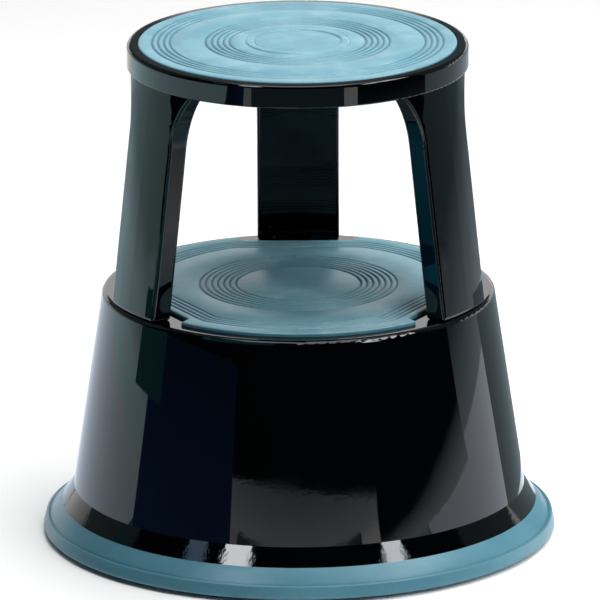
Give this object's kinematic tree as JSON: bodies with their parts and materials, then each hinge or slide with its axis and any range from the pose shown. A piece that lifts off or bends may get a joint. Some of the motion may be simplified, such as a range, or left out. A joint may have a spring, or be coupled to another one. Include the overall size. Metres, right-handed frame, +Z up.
{
  "type": "kick step stool",
  "caption": "Round two-step rolling stool of pressed steel with rubber treads, a rubber bumper ring and sprung castors that sink under load.",
  "frame": {"origin": "on the floor, on the stool's vertical axis, with the unloaded castors standing on the floor", "axes": "+Z up through the upper step, +Y towards the rear leg, +X to the right seen from the front"},
  "size_m": [0.4382, 0.4382, 0.4309],
  "materials": {
    "black_paint": "gloss",
    "teal_rubber": "satin",
    "zinc_steel": "satin",
    "spring_steel": "satin",
    "rivet_steel": "gloss",
    "white_nylon": "matte",
    "tyre_rubber": "matte"
  },
  "bodies": {
    "stool": {"top_platform": "black_paint", "top_mat": "teal_rubber", "base_drum": "black_paint", "step_mat": "teal_rubber", "bumper_ring": "teal_rubber", "foot_rivets": "rivet_steel", "head_rivets": "rivet_steel", "leg_rear": "black_paint", "leg_left": "black_paint", "leg_right": "black_paint", "castor_bracket_front": "zinc_steel", "guide_bush_front": "white_nylon", "coil_spring_front": "spring_steel", "castor_bracket_left": "zinc_steel", "guide_bush_left": "white_nylon", "coil_spring_left": "spring_steel", "castor_bracket_right": "zinc_steel", "guide_bush_right": "white_nylon", "coil_spring_right": "spring_steel"},
    "stem_front": {"castor_stem_front": "zinc_steel", "spring_seat_front": "zinc_steel", "stop_washer_front": "zinc_steel", "retaining_clip_front": "zinc_steel"},
    "fork_front": {"castor_fork_front": "zinc_steel", "wheel_axle_front": "zinc_steel"},
    "wheel_front": {"wheel_hub_front": "white_nylon", "wheel_tyre_front": "tyre_rubber"},
    "stem_left": {"castor_stem_left": "zinc_steel", "spring_seat_left": "zinc_steel", "stop_washer_left": "zinc_steel", "retaining_clip_left": "zinc_steel"},
    "fork_left": {"castor_fork_left": "zinc_steel", "wheel_axle_left": "zinc_steel"},
    "wheel_left": {"wheel_hub_left": "white_nylon", "wheel_tyre_left": "tyre_rubber"},
    "stem_right": {"castor_stem_right": "zinc_steel", "spring_seat_right": "zinc_steel", "stop_washer_right": "zinc_steel", "retaining_clip_right": "zinc_steel"},
    "fork_right": {"castor_fork_right": "zinc_steel", "wheel_axle_right": "zinc_steel"},
    "wheel_right": {"wheel_hub_right": "white_nylon", "wheel_tyre_right": "tyre_rubber"}
  },
  "joints": [
    {"name": "castor_retract_front", "type": "slide", "parent": "stool", "child": "stem_front", "axis": [0, 0, 1], "range_m": [0, 0.008], "stiffness_N_per_m": 3000, "springref_m": -0.018, "deforming": ["coil_spring_front"]},
    {"name": "castor_swivel_front", "type": "hinge", "parent": "stem_front", "child": "fork_front", "pos_m": [0, -0.14, 0], "axis": [0, 0, 1], "continuous": true},
    {"name": "wheel_roll_front", "type": "hinge", "parent": "fork_front", "child": "wheel_front", "pos_m": [0, -0.126, 0.02], "axis": [1, 0, 0], "continuous": true},
    {"name": "castor_retract_left", "type": "slide", "parent": "stool", "child": "stem_left", "axis": [0, 0, 1], "range_m": [0, 0.008], "stiffness_N_per_m": 3000, "springref_m": -0.018, "deforming": ["coil_spring_left"]},
    {"name": "castor_swivel_left", "type": "hinge", "parent": "stem_left", "child": "fork_left", "pos_m": [-0.12124, 0.07, 0], "axis": [0, 0, 1], "continuous": true},
    {"name": "wheel_roll_left", "type": "hinge", "parent": "fork_left", "child": "wheel_left", "pos_m": [-0.10912, 0.063, 0.02], "axis": [-0.5, -0.866, 0], "continuous": true},
    {"name": "castor_retract_right", "type": "slide", "parent": "stool", "child": "stem_right", "axis": [0, 0, 1], "range_m": [0, 0.008], "stiffness_N_per_m": 3000, "springref_m": -0.018, "deforming": ["coil_spring_right"]},
    {"name": "castor_swivel_right", "type": "hinge", "parent": "stem_right", "child": "fork_right", "pos_m": [0.12124, 0.07, 0], "axis": [0, 0, 1], "continuous": true},
    {"name": "wheel_roll_right", "type": "hinge", "parent": "fork_right", "child": "wheel_right", "pos_m": [0.10912, 0.063, 0.02], "axis": [-0.5, 0.866, 0], "continuous": true}
  ]
}
